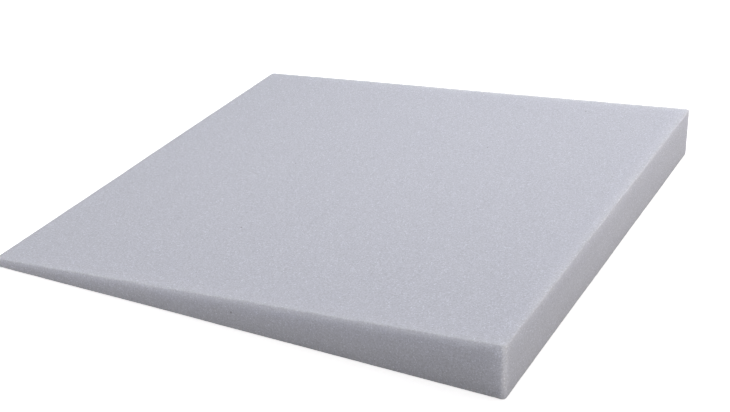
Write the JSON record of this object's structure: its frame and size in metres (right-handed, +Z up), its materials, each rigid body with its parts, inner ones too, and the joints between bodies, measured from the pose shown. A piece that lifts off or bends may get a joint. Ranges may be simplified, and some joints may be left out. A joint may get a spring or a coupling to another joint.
{
  "type": "tapered acoustic foam panel",
  "caption": "Square panel of light grey open-cell foam that tapers evenly from a thick edge to a thin one, with flat knife-cut faces; absorbs sound on a wall, or lies flat as a wedge.",
  "frame": {"origin": "middle of the base, on the surface that the panel lies on", "axes": "+X along the taper towards the thick edge, +Y across the panel, +Z up out of the base"},
  "size_m": [0.6, 0.6, 0.0599],
  "materials": {
    "foam": "matte light grey open-cell polyurethane foam with a bluish tint, knife-cut and uncoated"
  },
  "bodies": {
    "root": {"foam_panel": "foam"}
  },
  "joints": []
}
